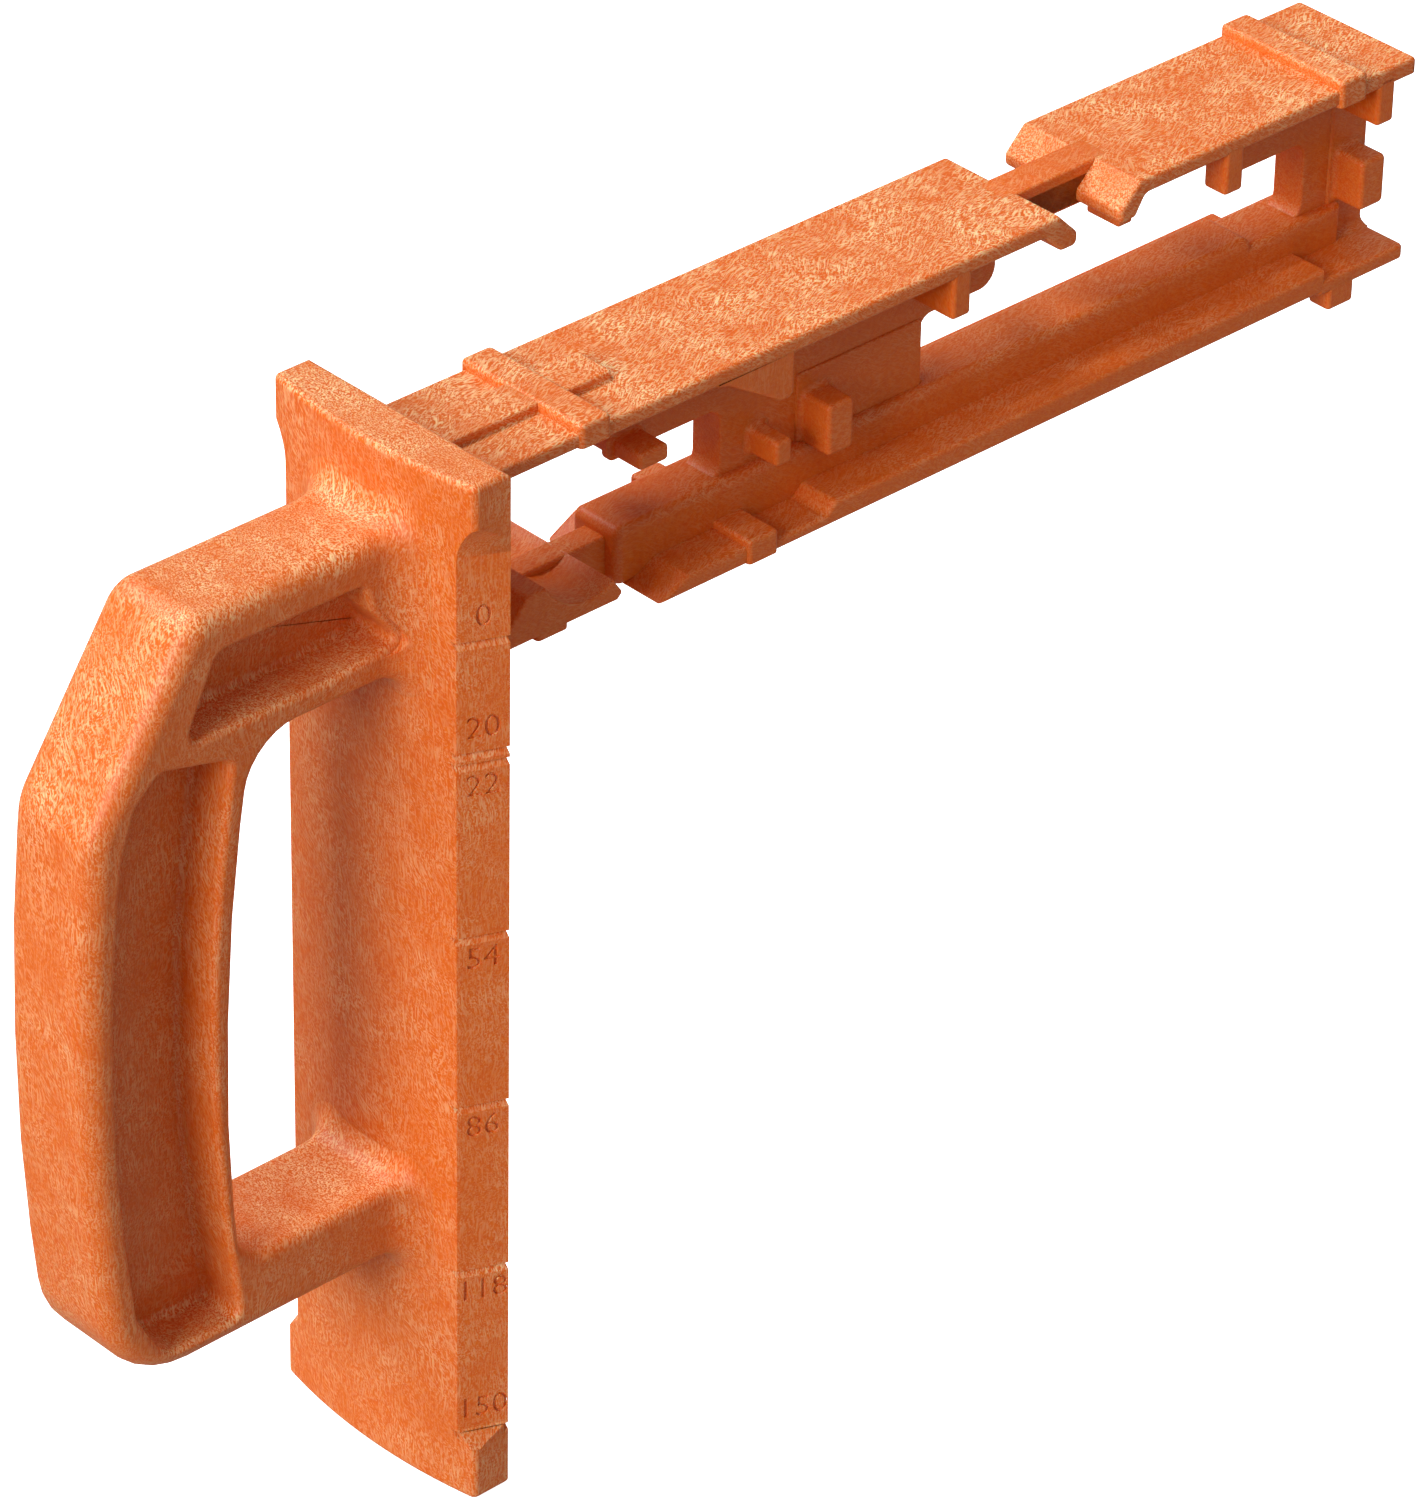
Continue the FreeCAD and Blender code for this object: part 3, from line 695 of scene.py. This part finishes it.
class TEMPLATE_OT_lower_rail(bpy.types.Operator):
    """Mould the arm's lower rail: spine, rails, saddles, ribs and end plate"""

    bl_idname = "template.lower_rail"
    bl_label = "Lower rail"

    def execute(self, context):
        s = sizes(context)
        half, spine = s["arm_half"], s["spine_half"]
        put(prism("X", THIN_SPINE, -2.5, 2.5, (0.5, 0.5)), "thin_spine_bar", ["thin_spine"])
        rear = prism("X", SPINE_REAR, -spine, spine, (1.4, 1.4))
        put(carve(prism("X", SPINE, -spine, spine, (1.6, 1.6)), [rear], "UNION"),
            "lower_spine_bar", ["lower_spine"])
        put(prism("Z", box(-half, half, 189.4, ARM_END, 1.0), -16.3, -13.5, (0.7, 0.7)),
            "lower_end_plate_sheet", ["lower_end_plate"], flow="X")
        put(prism("Z", box(-half, half, 14.4, 20.9, 0.8), -12.1, -10.6, (0.4, 0)),
            "saddle_foot_bar", ["saddle_foot"], flow="X")
        for name, side in SIDES:
            saddle = prism("X", SADDLE, 1.0, half, (0, 0.5))
            put(sided(saddle, side), "front_saddle_cradle_" + name, ["front_saddle_" + name],
                flow="X")
            flange = prism("X", RAIL, spine - 1, half, (0, 0.8))
            put(sided(flange, side), "lower_rail_flange_" + name,
                ["lower_flange_front_" + name, "lower_rail_" + name])
            rib = prism("Z", box(spine - 1, half + 0.6, 58.6, 65.0, 0.8), -15.8, -11.3,
                        (0.4, 0.7))
            put(sided(rib, side), "lower_cross_rib_bar_" + name, ["lower_cross_rib_" + name],
                flow="X")
            lug = prism("Z", box(8.7, half, 192.1, 198.3, 0.8), -20.0, -15.5, (0.7, 0))
            put(sided(lug, side), "end_lug_foot_" + name, ["end_lug_" + name], flow="Z")
        return {"FINISHED"}


# --- stage ------------------------------------------------------------------------


FLOOR_LEVEL = -0.1627
FLOOR_HALF = 6
CAMERA_PLACE = (0.7947, -0.68866, 0.64492)
# Azimuth, elevation and roll in degrees.
CAMERA_TURN = (46.549, 32.755, 1.098)
CAMERA_LENS = 192.73


def sunlight(name, origin, strength, spread):
    """An even light from a direction, softened over a spread in degrees."""
    data = bpy.data.lights.new(name, "SUN")
    data.energy = strength
    data.angle = math.radians(spread)
    item = bpy.data.objects.new(name, data)
    item.rotation_euler = (-Vector(origin)).to_track_quat("-Z", "Y").to_euler()
    bpy.context.scene.collection.objects.link(item)


class TEMPLATE_OT_stage(bpy.types.Operator):
    """Set out the floor, the soft lights and the camera"""

    bl_idname = "template.stage"
    bl_label = "Stage"

    def execute(self, context):
        scene = context.scene
        bm = bmesh.new()
        bmesh.ops.create_grid(bm, x_segments=1, y_segments=1, size=FLOOR_HALF)
        bmesh.ops.translate(bm, verts=bm.verts[:], vec=(0, 0, FLOOR_LEVEL))
        mesh = bpy.data.meshes.new("floor")
        bm.to_mesh(mesh)
        bm.free()
        mesh.materials.append(opal_acrylic())
        floor = bpy.data.objects.new("floor", mesh)
        scene.collection.objects.link(floor)
        floor.visible_diffuse = False
        floor.visible_glossy = False
        sunlight("key_light", (-0.6, -0.25, 1.0), 2.0, 26)
        sunlight("front_light", (0.15, -1.0, 0.42), 2.6, 30)
        world = bpy.data.worlds.new("studio")
        world.use_nodes = True
        back = world.node_tree.nodes["Background"]
        back.inputs["Color"].default_value = (1, 1, 1, 1)
        back.inputs["Strength"].default_value = 0.36
        scene.world = world
        scene.view_settings.view_transform = "Standard"
        data = bpy.data.cameras.new("camera")
        data.sensor_width = 36
        data.lens = CAMERA_LENS
        data.clip_end = 50
        camera = bpy.data.objects.new("camera", data)
        azimuth, elevation, roll = (math.radians(a) for a in CAMERA_TURN)
        turn = (Matrix.Rotation(azimuth, 4, "Z") @ Matrix.Rotation(math.pi / 2 - elevation, 4, "X")
                @ Matrix.Rotation(roll, 4, "Z"))
        camera.matrix_world = Matrix.Translation(CAMERA_PLACE) @ turn
        scene.collection.objects.link(camera)
        scene.camera = camera
        return {"FINISHED"}


# --- panel and registration ---------------------------------------------------------

STEPS = ("scale_plate", "handle", "upper_deck", "web", "pegs", "lower_rail", "stage")


class TEMPLATE_PT_panel(bpy.types.Panel):
    """Lists the steps that build the template"""

    bl_idname = "TEMPLATE_PT_panel"
    bl_label = "Marking template"
    bl_space_type = "VIEW_3D"
    bl_region_type = "UI"
    bl_category = "Template"

    def draw(self, context):
        for step in STEPS:
            self.layout.operator("template." + step)
        for group in (context.scene.template_sizes, context.scene.template_finish):
            box_area = self.layout.box()
            for name in group.bl_rna.properties.keys():
                if name not in ("rna_type", "name"):
                    box_area.prop(group, name)


CLASSES = (TEMPLATE_PG_sizes, TEMPLATE_PG_finish, TEMPLATE_OT_scale_plate, TEMPLATE_OT_handle,
           TEMPLATE_OT_upper_deck, TEMPLATE_OT_web, TEMPLATE_OT_pegs, TEMPLATE_OT_lower_rail,
           TEMPLATE_OT_stage, TEMPLATE_PT_panel)


def register():
    for item in CLASSES:
        bpy.utils.register_class(item)
    bpy.types.Scene.template_sizes = bpy.props.PointerProperty(type=TEMPLATE_PG_sizes)
    bpy.types.Scene.template_finish = bpy.props.PointerProperty(type=TEMPLATE_PG_finish)


def unregister():
    del bpy.types.Scene.template_finish
    del bpy.types.Scene.template_sizes
    for item in reversed(CLASSES):
        bpy.utils.unregister_class(item)


def main():
    register()
    for step in STEPS:
        getattr(bpy.ops.template, step)()


if __name__ == "__main__":
    main()
